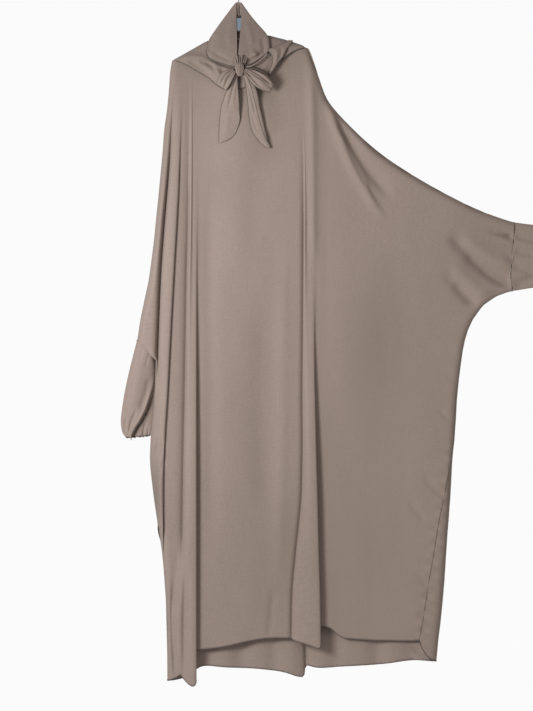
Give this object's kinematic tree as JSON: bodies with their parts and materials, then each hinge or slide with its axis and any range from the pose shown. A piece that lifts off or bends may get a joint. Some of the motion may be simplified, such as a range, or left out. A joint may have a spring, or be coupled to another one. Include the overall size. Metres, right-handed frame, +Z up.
{
  "type": "jilbab on a clothes hanger",
  "caption": "Hooded full-length batwing overdress in soft crepe with a ribbon tie at the neck, hung empty on a plain wire-hook clothes hanger, one sleeve out and one hanging in folds.",
  "frame": {"origin": "inside top of the hanger's hook, where a rail or wall hook carries it", "axes": "+X to the viewer's right along the stretched sleeve, +Y away from the viewer, +Z up"},
  "size_m": [1.1535, 0.08, 1.6651],
  "materials": {
    "crepe": "matt taupe crepe",
    "label_cloth": "blank woven label",
    "hook_wire": "plain bright wire",
    "hanger_arms": "dark moulded arms"
  },
  "bodies": {
    "root": {"body_front": "crepe", "body_back": "crepe", "sleeve_end_left": "crepe", "sleeve_end_right": "crepe", "hood_left": "crepe", "hood_right": "crepe", "cowl_left": "crepe", "cowl_right": "crepe", "cowl_fold_right": "crepe", "tie_gathers": "crepe", "tie_knot": "crepe", "tie_loop_left": "crepe", "tie_loop_right": "crepe", "tie_tail_left": "crepe", "tie_tail_right": "crepe", "tie_band_right": "crepe", "label": "label_cloth", "hanger_hook": "hook_wire", "hanger_arms": "hanger_arms"}
  },
  "joints": []
}
